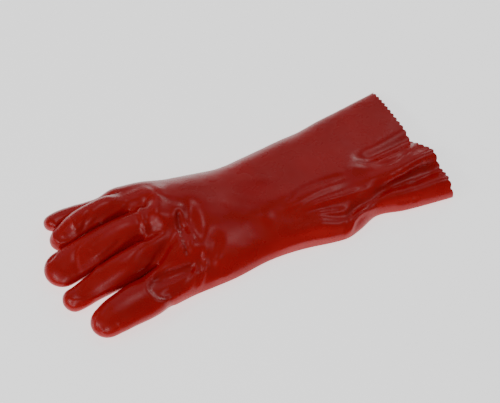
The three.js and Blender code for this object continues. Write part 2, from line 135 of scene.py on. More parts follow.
# The floor and the camera, in metres
FLOOR_HALF = 3.0
FLOOR_DROP = 0.0003  # so that the floor and the underside don't share a plane
CAMERA_TARGET = (0.01621, 0.01126, 0)
CAMERA_AWAY = (-0.3779, -0.7747, 1.1032)
CAMERA_LENS, CAMERA_SENSOR = 100.8, 36.0  # the lens's length and the film's width, in millimetres

# The area lights: name, place, target and size in metres, and power in watts
LIGHTS = [
    ("key", (-0.75, -0.7, 0.9), (0, 0, 0), (0.25, 0.5), 2.2),
    ("back", (0.5, 2.4, 1.6), (0, 0, 0.1), (3.0, 1.2), 3.0),
    ("rim", (-1.4, 0.0, 1.1), (-0.1, 0, 0), (0.9, 0.3), 5.0),
    ("side", (1.1, -0.2, 1.5), (0.1, 0, 0), (0.25, 0.9), 2.2),
    ("corner", (1.3, 1.1, 1.1), (0, 0, 0), (0.5, 0.5), 1.4),
    ("low", (1.3, 0.9, 0.6), (0, 0, 0), (0.4, 0.4), 1.8),
    ("top", (-0.1, 0.7, 1.4), (0, 0, 0), (0.3, 0.3), 1.0),
]


def table(columns, *rows):
    """The rows of a table as one array for each named column."""
    return {name: np.array([row[k] for row in rows], float) for k, name in enumerate(columns.split())}


# The body's cross sections. Along: share of the gauntlet's length from the webs. Near, far: places
# of the long sides. Lean: share across at which the crest stands. Lens: the lower, the fuller the
# dome. Under: clear height of the underside.
SECTIONS = table(
    "along near far crest lean lens under",
    (0.0, -0.62 * HAND, 0.465 * HAND, 0.9 * KNUCKLE, 0.53, 0.75, ARCH),
    (0.07, -0.605 * HAND, 0.435 * HAND, 1.0 * KNUCKLE, 0.55, 0.85, ARCH),
    (0.14, -0.6 * HAND, 0.39 * HAND, 0.98 * KNUCKLE, 0.55, 0.95, 0.7 * ARCH),
    (0.22, -0.59 * HAND, 0.37 * HAND, 0.9 * KNUCKLE, 0.53, 1.0, 0.25 * ARCH),
    (0.34, -0.64 * WRIST, 0.385 * WRIST, 1.0 * WRIST_HEIGHT, 0.5, 1.05, 0.0),
    (0.45, -0.655 * WRIST, 0.41 * WRIST, 0.94 * WRIST_HEIGHT, 0.48, 1.1, 0.0),
    (0.6, -0.5475 * CUFF, 0.346 * CUFF, 0.86 * WRIST_HEIGHT, 0.45, 1.15, 0.0),
    (0.66, -0.522 * CUFF, 0.355 * CUFF, 0.82 * WRIST_HEIGHT, 0.43, 1.18, 0.0),
    (0.735, -0.472 * CUFF, 0.38 * CUFF, 1.12 * CUFF_HEIGHT, 0.41, 1.2, 0.0),
    (0.83, -0.513 * CUFF, 0.407 * CUFF, 1.06 * CUFF_HEIGHT, 0.4, 1.2, 0.0),
    (1.0, -0.555 * CUFF, 0.454 * CUFF, 1.0 * CUFF_HEIGHT, 0.38, 1.2, 0.0),
)

# The digits: name, length, place of the far web, and the middle line with its sections. Along: share
# of the digit's length from its web. Roll: in degrees about the middle line.
DIGIT_COLUMNS = "along across lift wide thick roll"
DIGITS = [
    ("thumb", THUMB, -0.333 * HAND, table(
        DIGIT_COLUMNS,
        (0.0, -0.486 * HAND, 0.33 * KNUCKLE, 0.9 * THUMB_WIDE, 1.0 * THUMB_THICK, 0),
        (0.32, -0.508 * HAND, 0.315 * KNUCKLE, 1.0 * THUMB_WIDE, 0.97 * THUMB_THICK, 0),
        (0.57, -0.528 * HAND, 0.294 * KNUCKLE, 0.92 * THUMB_WIDE, 0.9 * THUMB_THICK, 0),
        (0.72, -0.543 * HAND, 0.266 * KNUCKLE, 0.86 * THUMB_WIDE, 0.82 * THUMB_THICK, 0),
        (0.82, -0.556 * HAND, 0.242 * KNUCKLE, 0.78 * THUMB_WIDE, 0.75 * THUMB_THICK, 0),
        (1.0, -0.578 * HAND, 0.205 * KNUCKLE, 0.7 * THUMB_WIDE, 0.64 * THUMB_THICK, 0),
    )),
    ("index", INDEX, -0.113 * HAND, table(
        DIGIT_COLUMNS,
        (0.0, -0.224 * HAND, 0.531 * KNUCKLE, 0.9 * INDEX_WIDE, 1.255 * INDEX_THICK, 0),
        (0.3, -0.244 * HAND, 0.445 * KNUCKLE, 1.0 * INDEX_WIDE, 1.113 * INDEX_THICK, 0),
        (0.48, -0.253 * HAND, 0.37 * KNUCKLE, 0.96 * INDEX_WIDE, 0.963 * INDEX_THICK, 0),
        (0.68, -0.267 * HAND, 0.28 * KNUCKLE, 0.84 * INDEX_WIDE, 0.78 * INDEX_THICK, 0),
        (0.84, -0.284 * HAND, 0.215 * KNUCKLE, 0.78 * INDEX_WIDE, 0.68 * INDEX_THICK, 0),
        (1.0, -0.288 * HAND, 0.198 * KNUCKLE, 0.75 * INDEX_WIDE, 0.62 * INDEX_THICK, 0),
    )),
    ("middle", MIDDLE, 0.148 * HAND, table(
        DIGIT_COLUMNS,
        (0.0, 0.018 * HAND, 0.555 * KNUCKLE, 0.86 * MIDDLE_WIDE, 1.385 * MIDDLE_THICK, 0),
        (0.33, 0.01 * HAND, 0.467 * KNUCKLE, 0.93 * MIDDLE_WIDE, 1.21 * MIDDLE_THICK, 0),
        (0.49, -0.001 * HAND, 0.405 * KNUCKLE, 0.97 * MIDDLE_WIDE, 1.08 * MIDDLE_THICK, 0),
        (0.62, -0.01 * HAND, 0.349 * KNUCKLE, 1.0 * MIDDLE_WIDE, 0.93 * MIDDLE_THICK, 0),
        (0.8, -0.022 * HAND, 0.28 * KNUCKLE, 1.02 * MIDDLE_WIDE, 0.78 * MIDDLE_THICK, 0),
        (1.0, -0.032 * HAND, 0.205 * KNUCKLE, 0.97 * MIDDLE_WIDE, 0.69 * MIDDLE_THICK, 0),
    )),
    ("ring", RING, 0.342 * HAND, table(
        DIGIT_COLUMNS,
        (0.0, 0.258 * HAND, 0.513 * KNUCKLE, 1.0 * RING_WIDE, 1.5 * RING_THICK, -4),
        (0.34, 0.258 * HAND, 0.477 * KNUCKLE, 1.07 * RING_WIDE, 1.37 * RING_THICK, -6),
        (0.55, 0.254 * HAND, 0.426 * KNUCKLE, 1.08 * RING_WIDE, 1.26 * RING_THICK, -6),
        (0.69, 0.244 * HAND, 0.366 * KNUCKLE, 1.04 * RING_WIDE, 1.08 * RING_THICK, -6),
        (0.86, 0.218 * HAND, 0.28 * KNUCKLE, 0.93 * RING_WIDE, 0.82 * RING_THICK, -5),
        (1.0, 0.21 * HAND, 0.21 * KNUCKLE, 0.88 * RING_WIDE, 0.76 * RING_THICK, 0),
    )),
    ("little", LITTLE, 0.465 * HAND, table(
        DIGIT_COLUMNS,
        (0.0, 0.41 * HAND, 0.3 * KNUCKLE, 0.74 * LITTLE_WIDE, 1.1 * LITTLE_THICK, -25),
        (0.22, 0.41 * HAND, 0.2 * KNUCKLE, 0.8 * LITTLE_WIDE, 0.8 * LITTLE_THICK, -36),
        (0.4, 0.412 * HAND, 0.2 * KNUCKLE, 0.84 * LITTLE_WIDE, 0.82 * LITTLE_THICK, -38),
        (0.59, 0.412 * HAND, 0.214 * KNUCKLE, 0.94 * LITTLE_WIDE, 0.9 * LITTLE_THICK, -38),
        (0.81, 0.405 * HAND, 0.22 * KNUCKLE, 0.98 * LITTLE_WIDE, 0.95 * LITTLE_THICK, -34),
        (1.0, 0.37 * HAND, 0.21 * KNUCKLE, 1.0 * LITTLE_WIDE, 1.0 * LITTLE_THICK, -25),
    )),
]

# The main folds: start, bend and end as (share along the gauntlet, share across it), lift, reach.
FOLDS = [
    ("web of thumb and index", (-0.03, 0.27), (0.02, 0.28), (0.13, 0.47), -0.2 * KNUCKLE, 0.07 * HAND),
    ("web of index and middle", (-0.02, 0.46), (0.01, 0.46), (0.05, 0.47), -0.2 * KNUCKLE, 0.05 * HAND),
    ("web of middle and ring", (-0.02, 0.7), (0.01, 0.7), (0.05, 0.7), -0.18 * KNUCKLE, 0.05 * HAND),
    ("web of ring and little", (-0.02, 0.87), (0.01, 0.87), (0.06, 0.86), -0.03 * KNUCKLE, 0.045 * HAND),
    ("dent at the thumb root", (-0.01, 0.16), (0.05, 0.15), (0.12, 0.17), -0.2 * KNUCKLE, 0.06 * HAND),
    ("knuckle ridge", (0.11, 0.8), (0.08, 0.65), (0.05, 0.5), 0.08 * KNUCKLE, 0.05 * HAND),
    ("leaf dent", (0.17, 0.6), (0.15, 0.45), (0.14, 0.3), -0.1 * KNUCKLE, 0.05 * HAND),
    ("wrist crease", (0.2, 0.27), (0.16, 0.16), (0.13, 0.05), -0.1 * WRIST_HEIGHT, 0.05 * WRIST),
    ("soft crest", (0.35, 0.32), (0.6, 0.36), (0.9, 0.4), 0.12 * WRIST_HEIGHT, 0.13 * WRIST),
    ("gauntlet ridge", (0.42, 0.02), (0.68, 0.09), (1.02, 0.3), 0.3 * WRIST_HEIGHT, 0.09 * WRIST),
    ("gauntlet valley", (0.58, 0.1), (0.76, 0.14), (1.02, 0.21), -0.4 * CUFF_HEIGHT, 0.05 * CUFF),
    ("near lip", (0.7, 0.0), (0.85, 0.07), (1.02, 0.07), 0.3 * CUFF_HEIGHT, 0.05 * CUFF),
    ("notch valley", (0.78, 0.42), (0.88, 0.44), (1.03, 0.5), -0.38 * CUFF_HEIGHT, 0.05 * CUFF),
]

# The cuff line before pinking: share across, and how far it stands past the gauntlet's length.
CUFF_LINE = table(
    "across past",
    (-0.05, -0.006 * GAUNTLET),
    (0.08, 0.001 * GAUNTLET),
    (0.2, 0.006 * GAUNTLET),
    (0.31, 0.002 * GAUNTLET),
    (0.43, -0.018 * GAUNTLET),
    (0.6, -0.024 * GAUNTLET),
    (0.8, -0.021 * GAUNTLET),
    (1.05, -0.014 * GAUNTLET),
)

# Small creases and rolls of the upper skin: name, points, lift and reach. A point is (share of the
# frame's length from the fingertips, share of its width from the thumb side).
CREASES = [
    ("middle low roll", [
        (0.069, 0.453), (0.097, 0.453), (0.136, 0.467), (0.169, 0.48), (0.198, 0.494),
        (0.218, 0.492),
    ], 1.5, 2.0),
    ("ring low roll", [
        (0.056, 0.707), (0.084, 0.691), (0.116, 0.695), (0.155, 0.705), (0.188, 0.712),
        (0.229, 0.722),
    ], 1.3, 2.0),
    ("ring far roll", [(0.063, 0.845), (0.085, 0.856), (0.111, 0.876), (0.133, 0.833)], 0.6, 2.0),
    ("ring joint crease 1", [(0.158, 0.804), (0.148, 0.762), (0.13, 0.721), (0.115, 0.701)], -1.0, 2.0),
    ("ring joint roll", [(0.167, 0.779), (0.16, 0.736), (0.146, 0.708)], 0.8, 2.0),
    ("ring nail crease", [(0.112, 0.8), (0.109, 0.747), (0.108, 0.705)], 0.9, 2.0),
    ("ring nail roll", [
        (0.087, 0.855), (0.07, 0.842), (0.058, 0.763), (0.064, 0.708), (0.083, 0.697),
    ], 0.9, 2.0),
    ("ring knob", [(0.074, 0.725), (0.082, 0.725)], 0.7, 2.2),
    ("knuckle roll", [(0.271, 0.704), (0.261, 0.618), (0.253, 0.525), (0.251, 0.461)], 2.2, 3.2),
    ("wrist streak", [
        (0.364, 0.248), (0.351, 0.21), (0.344, 0.158), (0.328, 0.118), (0.308, 0.07),
    ], 1.7, 2.0),
    ("wrist streak hollow", [(0.35, 0.241), (0.335, 0.191), (0.32, 0.128), (0.297, 0.078)], -1.2, 3.0),
    ("web valley", [(0.289, 0.373), (0.265, 0.328), (0.241, 0.281), (0.219, 0.258)], -2.8, 4.0),
    ("web valley branch", [(0.255, 0.344), (0.235, 0.302), (0.213, 0.281)], -1.8, 2.6),
    ("index web pinch", [(0.24, 0.461), (0.23, 0.488), (0.214, 0.486)], -1.9, 2.0),
    ("index web roll", [(0.24, 0.41), (0.225, 0.427), (0.217, 0.477)], 1.0, 2.0),
    ("pinch ray", [(0.222, 0.499), (0.234, 0.494), (0.244, 0.481)], 0.9, 2.0),
    ("middle wave", [
        (0.106, 0.603), (0.086, 0.58), (0.076, 0.535), (0.071, 0.478), (0.073, 0.446),
    ], -1.0, 2.0),
    ("middle wave roll", [(0.113, 0.586), (0.094, 0.566), (0.084, 0.523)], 0.9, 2.0),
    ("middle streak", [(0.186, 0.528), (0.167, 0.509), (0.141, 0.494), (0.116, 0.483)], 0.9, 2.2),
    ("middle knob", [(0.118, 0.546), (0.126, 0.546)], 1.2, 3.6),
    ("middle knob low", [(0.099, 0.523), (0.107, 0.523)], 0.7, 2.4),
    ("middle tip dent", [(0.018, 0.614), (0.03, 0.623), (0.043, 0.637)], -1.1, 2.0),
    ("index facet", [(0.128, 0.459), (0.104, 0.399), (0.073, 0.353)], 1.1, 3.0),
    ("index low roll", [
        (0.019, 0.333), (0.046, 0.285), (0.081, 0.272), (0.124, 0.269), (0.166, 0.273),
    ], 0.9, 2.0),
    ("thumb edge roll", [
        (0.049, 0.083), (0.069, 0.136), (0.098, 0.173), (0.127, 0.192), (0.161, 0.216),
    ], 0.9, 2.0),
    ("thumb pad knob", [(0.059, 0.044), (0.067, 0.044)], 0.8, 3.2),
    ("thumb knob", [(0.099, 0.029), (0.107, 0.029)], 0.5, 3.0),
    ("crest crease", [
        (0.582, 0.337), (0.603, 0.346), (0.638, 0.381), (0.681, 0.394), (0.735, 0.387),
        (0.761, 0.377),
    ], -1.3, 3.2),
    ("crest roll", [(0.567, 0.303), (0.622, 0.306), (0.682, 0.334), (0.753, 0.339)], 0.9, 4.0),
    ("flank upper roll", [
        (0.611, 0.253), (0.64, 0.259), (0.667, 0.26), (0.72, 0.254), (0.775, 0.247),
        (0.816, 0.244),
    ], 2.6, 3.6),
    ("flank lower roll", [(0.607, 0.232), (0.659, 0.199), (0.703, 0.17), (0.73, 0.169)], 1.4, 3.2),
    ("lip roll", [
        (0.517, 0.117), (0.556, 0.113), (0.606, 0.095), (0.655, 0.068), (0.692, 0.05),
    ], 1.0, 3.4),
    ("pinch roll", [
        (0.694, 0.046), (0.708, 0.063), (0.723, 0.096), (0.741, 0.118), (0.761, 0.132),
        (0.79, 0.135),
    ], 2.2, 3.0),
    ("deep valley", [
        (0.699, 0.074), (0.717, 0.123), (0.744, 0.157), (0.776, 0.175), (0.807, 0.188),
        (0.844, 0.217), (0.898, 0.231), (0.954, 0.25), (0.995, 0.253),
    ], -2.8, 4.6),
    ("ridge patch", [(0.83, 0.246), (0.868, 0.25), (0.89, 0.25), (0.93, 0.249)], 1.0, 3.4),
    ("upper cuff roll", [(0.757, 0.294), (0.814, 0.302), (0.903, 0.318), (0.966, 0.344)], 0.5, 8.0),
    ("notch crease", [(0.951, 0.431), (0.917, 0.379), (0.884, 0.36), (0.844, 0.372)], -1.6, 2.8),
    ("notch branch", [(0.952, 0.393), (0.927, 0.373)], -1.3, 2.0),
    ("notch roll", [(0.968, 0.423), (0.94, 0.366), (0.914, 0.342)], 0.7, 2.0),
    ("wrist knob", [(0.369, 0.181), (0.381, 0.146)], 1.1, 4.5),
    ("wrist low roll", [(0.341, 0.089), (0.372, 0.088), (0.405, 0.088)], 1.0, 4.0),
    ("wrist low crease", [(0.401, 0.157), (0.387, 0.113), (0.37, 0.079)], -0.7, 2.4),
    ("cuff wrinkle 1", [(0.856, 0.121), (0.858, 0.099)], -0.7, 2.0),
    ("cuff wrinkle 2", [(0.873, 0.111), (0.875, 0.089)], -0.7, 2.0),
    ("cuff wrinkle 3", [(0.893, 0.099), (0.896, 0.079)], -0.6, 2.0),
    ("far crease", [(0.312, 0.8), (0.318, 0.69), (0.333, 0.63), (0.363, 0.56)], -1.4, 3.0),
    ("far crease roll", [(0.302, 0.8), (0.309, 0.69), (0.322, 0.62)], 0.6, 2.4),
    ("ring web roll", [(0.238, 0.735), (0.222, 0.722), (0.195, 0.717), (0.16, 0.707)], 0.9, 2.0),
    ("ring joint crease 2", [(0.172, 0.83), (0.158, 0.727), (0.137, 0.705), (0.12, 0.699)], -0.8, 2.0),
    ("far soft roll", [(0.49, 0.63), (0.535, 0.612), (0.574, 0.573), (0.587, 0.529)], 0.7, 8.0),
    ("middle soft roll", [(0.47, 0.4), (0.52, 0.309), (0.544, 0.252)], 0.8, 7.0),
]

# Dents with a flat floor and a raised rim: name, outline in the same shares, depth, width of the
# slope and lift of the rim.
PITS = [
    ("leaf dent", [
        (0.343, 0.534), (0.329, 0.485), (0.324, 0.426), (0.316, 0.334), (0.311, 0.253),
        (0.323, 0.268), (0.335, 0.313), (0.342, 0.401), (0.344, 0.472),
    ], 2.4, 3.6, 0.7),
    ("thumb root dent", [
        (0.214, 0.203), (0.242, 0.223), (0.279, 0.209), (0.318, 0.199), (0.309, 0.142),
        (0.285, 0.102), (0.249, 0.078), (0.214, 0.064), (0.2, 0.1), (0.197, 0.154),
    ], 2.6, 5.0, 0.8),
]


def on_curve(rows, column, place, by="along"):
    """A column of a table at places along it, on a smooth curve through the rows."""
    x, y = rows[by], rows[column]
    slopes = np.empty_like(y)
    slopes[1:-1] = (y[2:] - y[:-2]) / (x[2:] - x[:-2])
    slopes[0] = (y[1] - y[0]) / (x[1] - x[0])
    slopes[-1] = (y[-1] - y[-2]) / (x[-1] - x[-2])
    place = np.asarray(place, float)
    i = np.clip(np.searchsorted(x, place) - 1, 0, len(x) - 2)
    span = x[i + 1] - x[i]
    t = np.clip((place - x[i]) / span, 0, 1)
    rest = 1 - t
    ends = y[i] * (1 + 2 * t) * rest * rest + y[i + 1] * (3 - 2 * t) * t * t
    return ends + span * t * rest * (slopes[i] * rest - slopes[i + 1] * t)


def smoothstep(low, high, value):
    """From 0 at low to 1 at high, level at both."""
    t = np.clip((value - low) / (high - low), 0, 1)
    return t * t * (3 - 2 * t)


def section_at(along):
    """The body's section at a place along it, as lengths by name."""
    place = min(max(along, 0.0), 1.0)
    section = {name: float(on_curve(SECTIONS, name, place)) for name in SECTIONS if name != "along"}
    section["under"] = max(section["under"], 0.0)
    section["width"] = section["far"] - section["near"]
    return section


ROOT = section_at(0.0)  # where the digits begin


def fold_lift(along, across, width):
    """How far the main folds lift points of the upper skin, from their shares along and across."""
    along, across = np.broadcast_arrays(along, across)
    lift = np.zeros(across.shape)
    t = np.linspace(0, 1, FOLD_STEPS + 1)
    for _, start, bend, end, height, reach in FOLDS:
        curve = [(1 - t) ** 2 * start[k] + 2 * t * (1 - t) * bend[k] + t * t * end[k] for k in (0, 1)]
        away = np.hypot(
            (curve[0] - along[..., None]) * GAUNTLET,
            (curve[1] - across[..., None]) * width,
        )
        nearest = away.argmin(-1)
        place = t[nearest]
        fade = np.minimum(1, np.minimum(FOLD_END + FOLD_RISE * place, FOLD_END + FOLD_RISE * (1 - place)))
        lift += height * fade * np.exp(-((away.min(-1) / reach) ** 2))
    return lift


def body_points(along, across, above):
    """Points of the body's skin, above or below, at shares across from the near edge."""
    s = section_at(along)
    across = np.asarray(across, float)
    side_height = EDGE / 2 + s["under"] * SIDE_SHARE
    from_edge = np.minimum(across, 1 - across) * s["width"]
    if above:
        leaned = across ** (math.log(0.5) / math.log(s["lean"]))
        dome = np.clip(4 * leaned * (1 - leaned), 0, None) ** (s["lens"] / 2)
        full = 1 - np.exp(-from_edge / EDGE)
        z = side_height + (s["crest"] - side_height) * dome + fold_lift(along, across, s["width"]) * full
    else:
        t = np.minimum(1, from_edge / (UNDER_TURN * EDGE))
        z = side_height + (s["under"] - side_height) * np.sqrt(1 - (1 - t) ** 2)
    x = np.full(across.shape, along * GAUNTLET)
    return np.stack([x, s["near"] + s["width"] * across, z], -1)


def column_shares(along):
    """Shares across of the body's columns: they follow the digits' roots, then even out."""
    columns = PER_DIGIT * len(DIGITS)
    even = smoothstep(EVEN_FROM, EVEN_TO, along)
    inset = 0.5 - 0.5 * math.cos(math.pi * EDGE_TURN / 2)
    webs = [0.0] + [(far - ROOT["near"]) / ROOT["width"] for _, _, far, _ in DIGITS[:-1]] + [1.0]
    places = np.arange(columns + 1) / PER_DIGIT
    rooted = np.clip(np.interp(places, np.arange(len(webs)), webs), inset, 1 - inset)
    turn = EDGE_TURN / 2 + (1 - EDGE_TURN) * np.arange(columns + 1) / columns
    return rooted + (0.5 - 0.5 * np.cos(math.pi * turn) - rooted) * even


def body_loop(along):
    """The upper skin from near to far, the far edge, the underside back, and the near edge."""
    shares = column_shares(along)
    side = shares[0] * SIDE_INSET
    top = body_points(along, shares, True)
    bottom = body_points(along, shares[::-1], False)
    far = [
        body_points(along, 1 - side, True),
        body_points(along, 1.0, True),
        body_points(along, 1 - side, False),
    ]
    near = [
        body_points(along, side, False),
        body_points(along, 0.0, True),
        body_points(along, side, True),
    ]
    return np.vstack([top, far, bottom, near])


def digit_loop(length, rows, along, root_loop):
    """A loop of a digit's points. Near its root it keeps the form of the root's own loop."""
    step = 0.02  # share over which the digit's heading is measured
    at = {name: float(on_curve(rows, name, along)) for name in rows if name != "along"}
    measured = min(along, 1 - step)
    ahead, here = measured + step, measured
    rise = [float(on_curve(rows, n, ahead) - on_curve(rows, n, here)) for n in ("across", "lift")]
    forward = np.array([-step * length, *rise])
    forward /= np.linalg.norm(forward)
    side = np.cross(forward, [0, 0, 1.0])
    side /= np.linalg.norm(side)
    up = np.cross(side, forward)
    roll = math.radians(at["roll"])
    major = side * math.cos(roll) + up * math.sin(roll)
    minor = up * math.cos(roll) - side * math.sin(roll)
    cap = CAP * at["wide"] / length
    into_cap = min(max((along - (1 - cap)) / cap, 0.0), CAP_LIMIT)
    shrink = math.sqrt(1 - into_cap**2)
    upper = EDGE_TURN + (1 - 2 * EDGE_TURN) * np.arange(PER_DIGIT + 1) / PER_DIGIT
    edge = EDGE_TURN / 2 * np.array([-1, 0, 1])
    turns = np.concatenate([upper, 1 + edge, upper + 1, 2 + edge])
    c, s = -np.cos(math.pi * turns), np.sin(math.pi * turns)
    middle = np.array([-along * length, at["across"], at["lift"]])
    half_wide, half_thick = 0.5 * at["wide"] * shrink, 0.5 * at["thick"] * shrink
    loop = middle + half_wide * c[:, None] * major + half_thick * s[:, None] * minor
    shares = (loop[:, 1] - ROOT["near"]) / ROOT["width"]
    loop[:, 2] += np.clip(s, 0, 1) * fold_lift(loop[:, 0] / GAUNTLET, shares, ROOT["width"])
    held = root_loop.copy()
    held[:, 0] -= along * length
    low, high = held[:, 1].min(), held[:, 1].max()
    held[:, 1] = (low + high) / 2 + (held[:, 1] - (low + high) / 2) * (1 - FINGER_GAP / (high - low))
    return held + (loop - held) * smoothstep(0, SETTLE, along)


def glove_skin():
    """The outer skin as points and quads: loops of the body, webs and capped digits."""
    points, faces = [], []

    def add(loop):
        """Adds points and gives their numbers."""
        first = len(points)
        points.extend(np.atleast_2d(loop))
        return list(range(first, len(points)))

    def between(first, second):
        """Adds the quads between two loops."""
        for k, a in enumerate(first):
            after = (k + 1) % len(first)
            faces.append((a, second[k], second[after], first[after]))

    columns = PER_DIGIT * len(DIGITS)
    run = 1 + (2 * PINK_DEPTH + PINK_PITCH) / GAUNTLET  # past the cuff line, which is cut later
    rows = [add(body_loop((r / BODY_ROWS) ** BODY_CROWDING * run)) for r in range(BODY_ROWS + 1)]
    for first, second in zip(rows, rows[1:]):
        between(first, second)
    root = rows[0]
    below = columns + 1 + SIDE

    def lower(j):
        """The point of the underside at column j of the root."""
        return root[below + columns - j]

    webs = []
    for i in range(1, len(DIGITS)):
        top, bottom = points[root[i * PER_DIGIT]], points[lower(i * PER_DIGIT)]
        column = []
        for share in np.arange(1, SIDE + 1) / (SIDE + 1):
            web = top + (bottom - top) * share
            web[0] -= WALL * share * (1 - share)
            column += add(web)
        webs.append(column)
    far_edge = root[columns + 1 : below]
    near_edge = root[below + columns + 1 :]
    for i, (_, length, _, rows_of) in enumerate(DIGITS):
        first = i * PER_DIGIT
        loop = [root[first + j] for j in range(PER_DIGIT + 1)]
        loop += far_edge if i == len(DIGITS) - 1 else webs[i]
        loop += [lower(first + j) for j in range(PER_DIGIT, -1, -1)]
        loop += near_edge if i == 0 else webs[i - 1][::-1]
        root_loop = np.array([points[k] for k in loop])
        previous = loop
        for r in range(1, DIGIT_ROWS + 1):
            quarter = math.pi / 2 * (r - 1) / (DIGIT_ROWS - LAST_STEP)
            along = FIRST_LOOP + (1 - FIRST_LOOP) * math.sin(quarter) ** DIGIT_CROWDING
            following = add(digit_loop(length, rows_of, along, root_loop))
            between(following, previous)
            previous = following
        tip = np.mean([points[k] for k in previous], 0)
        tip[0] = -length
        pole = add(tip)[0]
        faces.extend((pole, a, previous[(k + 1) % len(previous)]) for k, a in enumerate(previous))
    return np.array(points), faces


def in_scene(name, data):
    """A new object of the scene."""
    made = bpy.data.objects.new(name, data)
    bpy.context.scene.collection.objects.link(made)
    return made


def mesh_of(name, points, faces):
    """A new mesh of points and faces."""
    mesh = bpy.data.meshes.new(name)
    mesh.from_pydata([tuple(p) for p in points], [], faces)
    mesh.update()
    return mesh


def subdivided(points, faces):
    """The skin after one smooth subdivision, as points and quads."""
    scratch = in_scene("scratch", mesh_of("scratch", points, faces))
    scratch.modifiers.new("smooth", "SUBSURF").levels = 1
    made = scratch.evaluated_get(bpy.context.evaluated_depsgraph_get()).to_mesh()
    smooth = read_points(made)
    quads = [tuple(p.vertices) for p in made.polygons]
    mesh = scratch.data
    bpy.data.objects.remove(scratch)
    bpy.data.meshes.remove(mesh)
    return smooth, quads


def read_points(mesh):
    """The points of a mesh as rows of an array."""
    values = np.empty(len(mesh.vertices) * 3)
    mesh.vertices.foreach_get("co", values)
    return values.reshape(-1, 3)


def normals_of(points, faces):
    """Area weighted normals of the points of a surface of quads."""
    quads = np.array(faces)
    across = np.cross(points[quads[:, 2]] - points[quads[:, 0]], points[quads[:, 3]] - points[quads[:, 1]])
    normals = np.zeros_like(points)
    for k in range(4):
        np.add.at(normals, quads[:, k], across)
    return normals / np.linalg.norm(normals, axis=1, keepdims=True).clip(1e-12)


def spread(points, steps):
    """Points on a smooth curve through the given ones."""
    p = np.array(points, float)
    padded = np.vstack([2 * p[0] - p[1], p, 2 * p[-1] - p[-2]])
    made = []
    for a, b, c, d in zip(padded, padded[1:], padded[2:], padded[3:]):
        for t in np.arange(steps) / steps:
            bent = (2 * a - 5 * b + 4 * c - d) * t * t + (3 * b - a - 3 * c + d) * t**3
            made.append(0.5 * (2 * b + (c - a) * t + bent))
    return np.array(made + [p[-1]])


def inside_by(places, outline):
    """How far places lie inside a closed outline, with those outside it below zero."""
    away = np.hypot(*(places[:, None] - outline[None]).T).min(0)
    crossings = np.zeros(len(places), bool)
    for (x1, y1), (x2, y2) in zip(outline, outline[1:]):
        between = (y1 > places[:, 1]) != (y2 > places[:, 1])
        rise = y2 - y1 if y2 != y1 else 1.0
        crossings ^= between & (places[:, 0] < x1 + (places[:, 1] - y1) * (x2 - x1) / rise)
    return np.where(crossings, away, -away)


def value_noise(points, wavelength, seed):
    """Smooth noise at each point, mostly from -1 to 1."""
    rng = np.random.default_rng(seed)
    total = np.zeros(len(points))
    waves = 24
    shortest, longest = 0.7, 1.6  # in wavelengths
    for _ in range(waves):
        direction = rng.normal(size=3)
        direction /= np.linalg.norm(direction)
        phase = rng.uniform(0, 2 * math.pi)
        size = wavelength * rng.uniform(shortest, longest)
        total += np.sin(points @ direction * 2 * math.pi / size + phase)
    return total / math.sqrt(waves)


def from_shares(shares):
    """Places in plan, from shares of the frame's length and width."""
    length = (cad_high.x - cad_low.x) / MM
    width = (cad_high.y - cad_low.y) / MM
    return np.array([(cad_low.x / MM + u * length, cad_low.y / MM + v * width) for u, v in shares])


def creased(points, faces):
    """The skin with its small creases, rolls, dents and unevenness."""
    normals = normals_of(points, faces)
    upward = smoothstep(UPWARD_FROM, UPWARD_TO, normals[:, 2])
    top = np.flatnonzero(normals[:, 2] > TOP_RISE)
    flat = points[top, :2]
    move = np.zeros(len(points))
    for _, shares, lift, reach in CREASES:
        line = spread(from_shares(shares), CREASE_STEPS)
        weights = [np.exp(-(((flat - p) / HEIGHT_BLEND) ** 2).sum(1)) for p in line]
        heights = [w @ points[top, 2] / w.sum() for w in weights]
        curve = spread(np.column_stack([line, heights]), CREASE_FINER)
        low, high = curve.min(0) - CREASE_SPAN * reach, curve.max(0) + CREASE_SPAN * reach
        near = np.flatnonzero(((points > low) & (points < high)).all(1))
        away = np.linalg.norm(points[near, None] - curve[None], axis=2)
        place = away.argmin(1) / (len(curve) - 1)
        taper = smoothstep(TAPER_FROM, TAPER_TO, place) * smoothstep(TAPER_FROM, TAPER_TO, 1 - place)
        move[near] += lift * taper * np.exp(-((away.min(1) / reach) ** 2))
    for _, shares, depth, slope, rim in PITS:
        corners = from_shares(shares)
        near = top[np.hypot(*(flat - corners.mean(0)).T) < PIT_SPAN]
        inside = inside_by(points[near, :2], spread(np.vstack([corners, corners[:1]]), PIT_STEPS))
        move[near] -= depth * smoothstep(-slope / 2, slope / 2, inside)
        move[near] += rim * np.exp(-(((inside + slope / 2) / slope) ** 2))
    uneven = sum(height * value_noise(points, wavelength, seed) for height, wavelength, seed in UNEVEN)
    move = (move + uneven) * upward
    return points + normals * move[:, None]


def pinking_cutter():
    """What the pinking shears take away: everything past the cuff line."""
    end = section_at(1.0)
    first, last = CUFF_LINE["across"][0], CUFF_LINE["across"][-1]
    scallops = round((last - first) * end["width"] / PINK_PITCH)
    shares = np.linspace(first, last, scallops * SCALLOP_STEPS + 1)
    scallop = np.abs(np.sin(np.arange(len(shares)) * math.pi / SCALLOP_STEPS))
    x = GAUNTLET + on_curve(CUFF_LINE, "past", shares, "across") + PINK_DEPTH * (scallop - 1)
    y = end["near"] + end["width"] * shares
    past = GAUNTLET + CUFF
    outline = [(past, y[0]), *zip(x, y), (past, y[-1])]
    n = len(outline)
    points = [(a, b, z) for z in (CUTTER_LOW, CUTTER_HIGH) for a, b in outline]
    faces = [tuple(range(n)), tuple(range(2 * n - 1, n - 1, -1))]
    faces += [(i, i + n, (i + 1) % n + n, (i + 1) % n) for i in range(n)]
    return np.array(points), faces


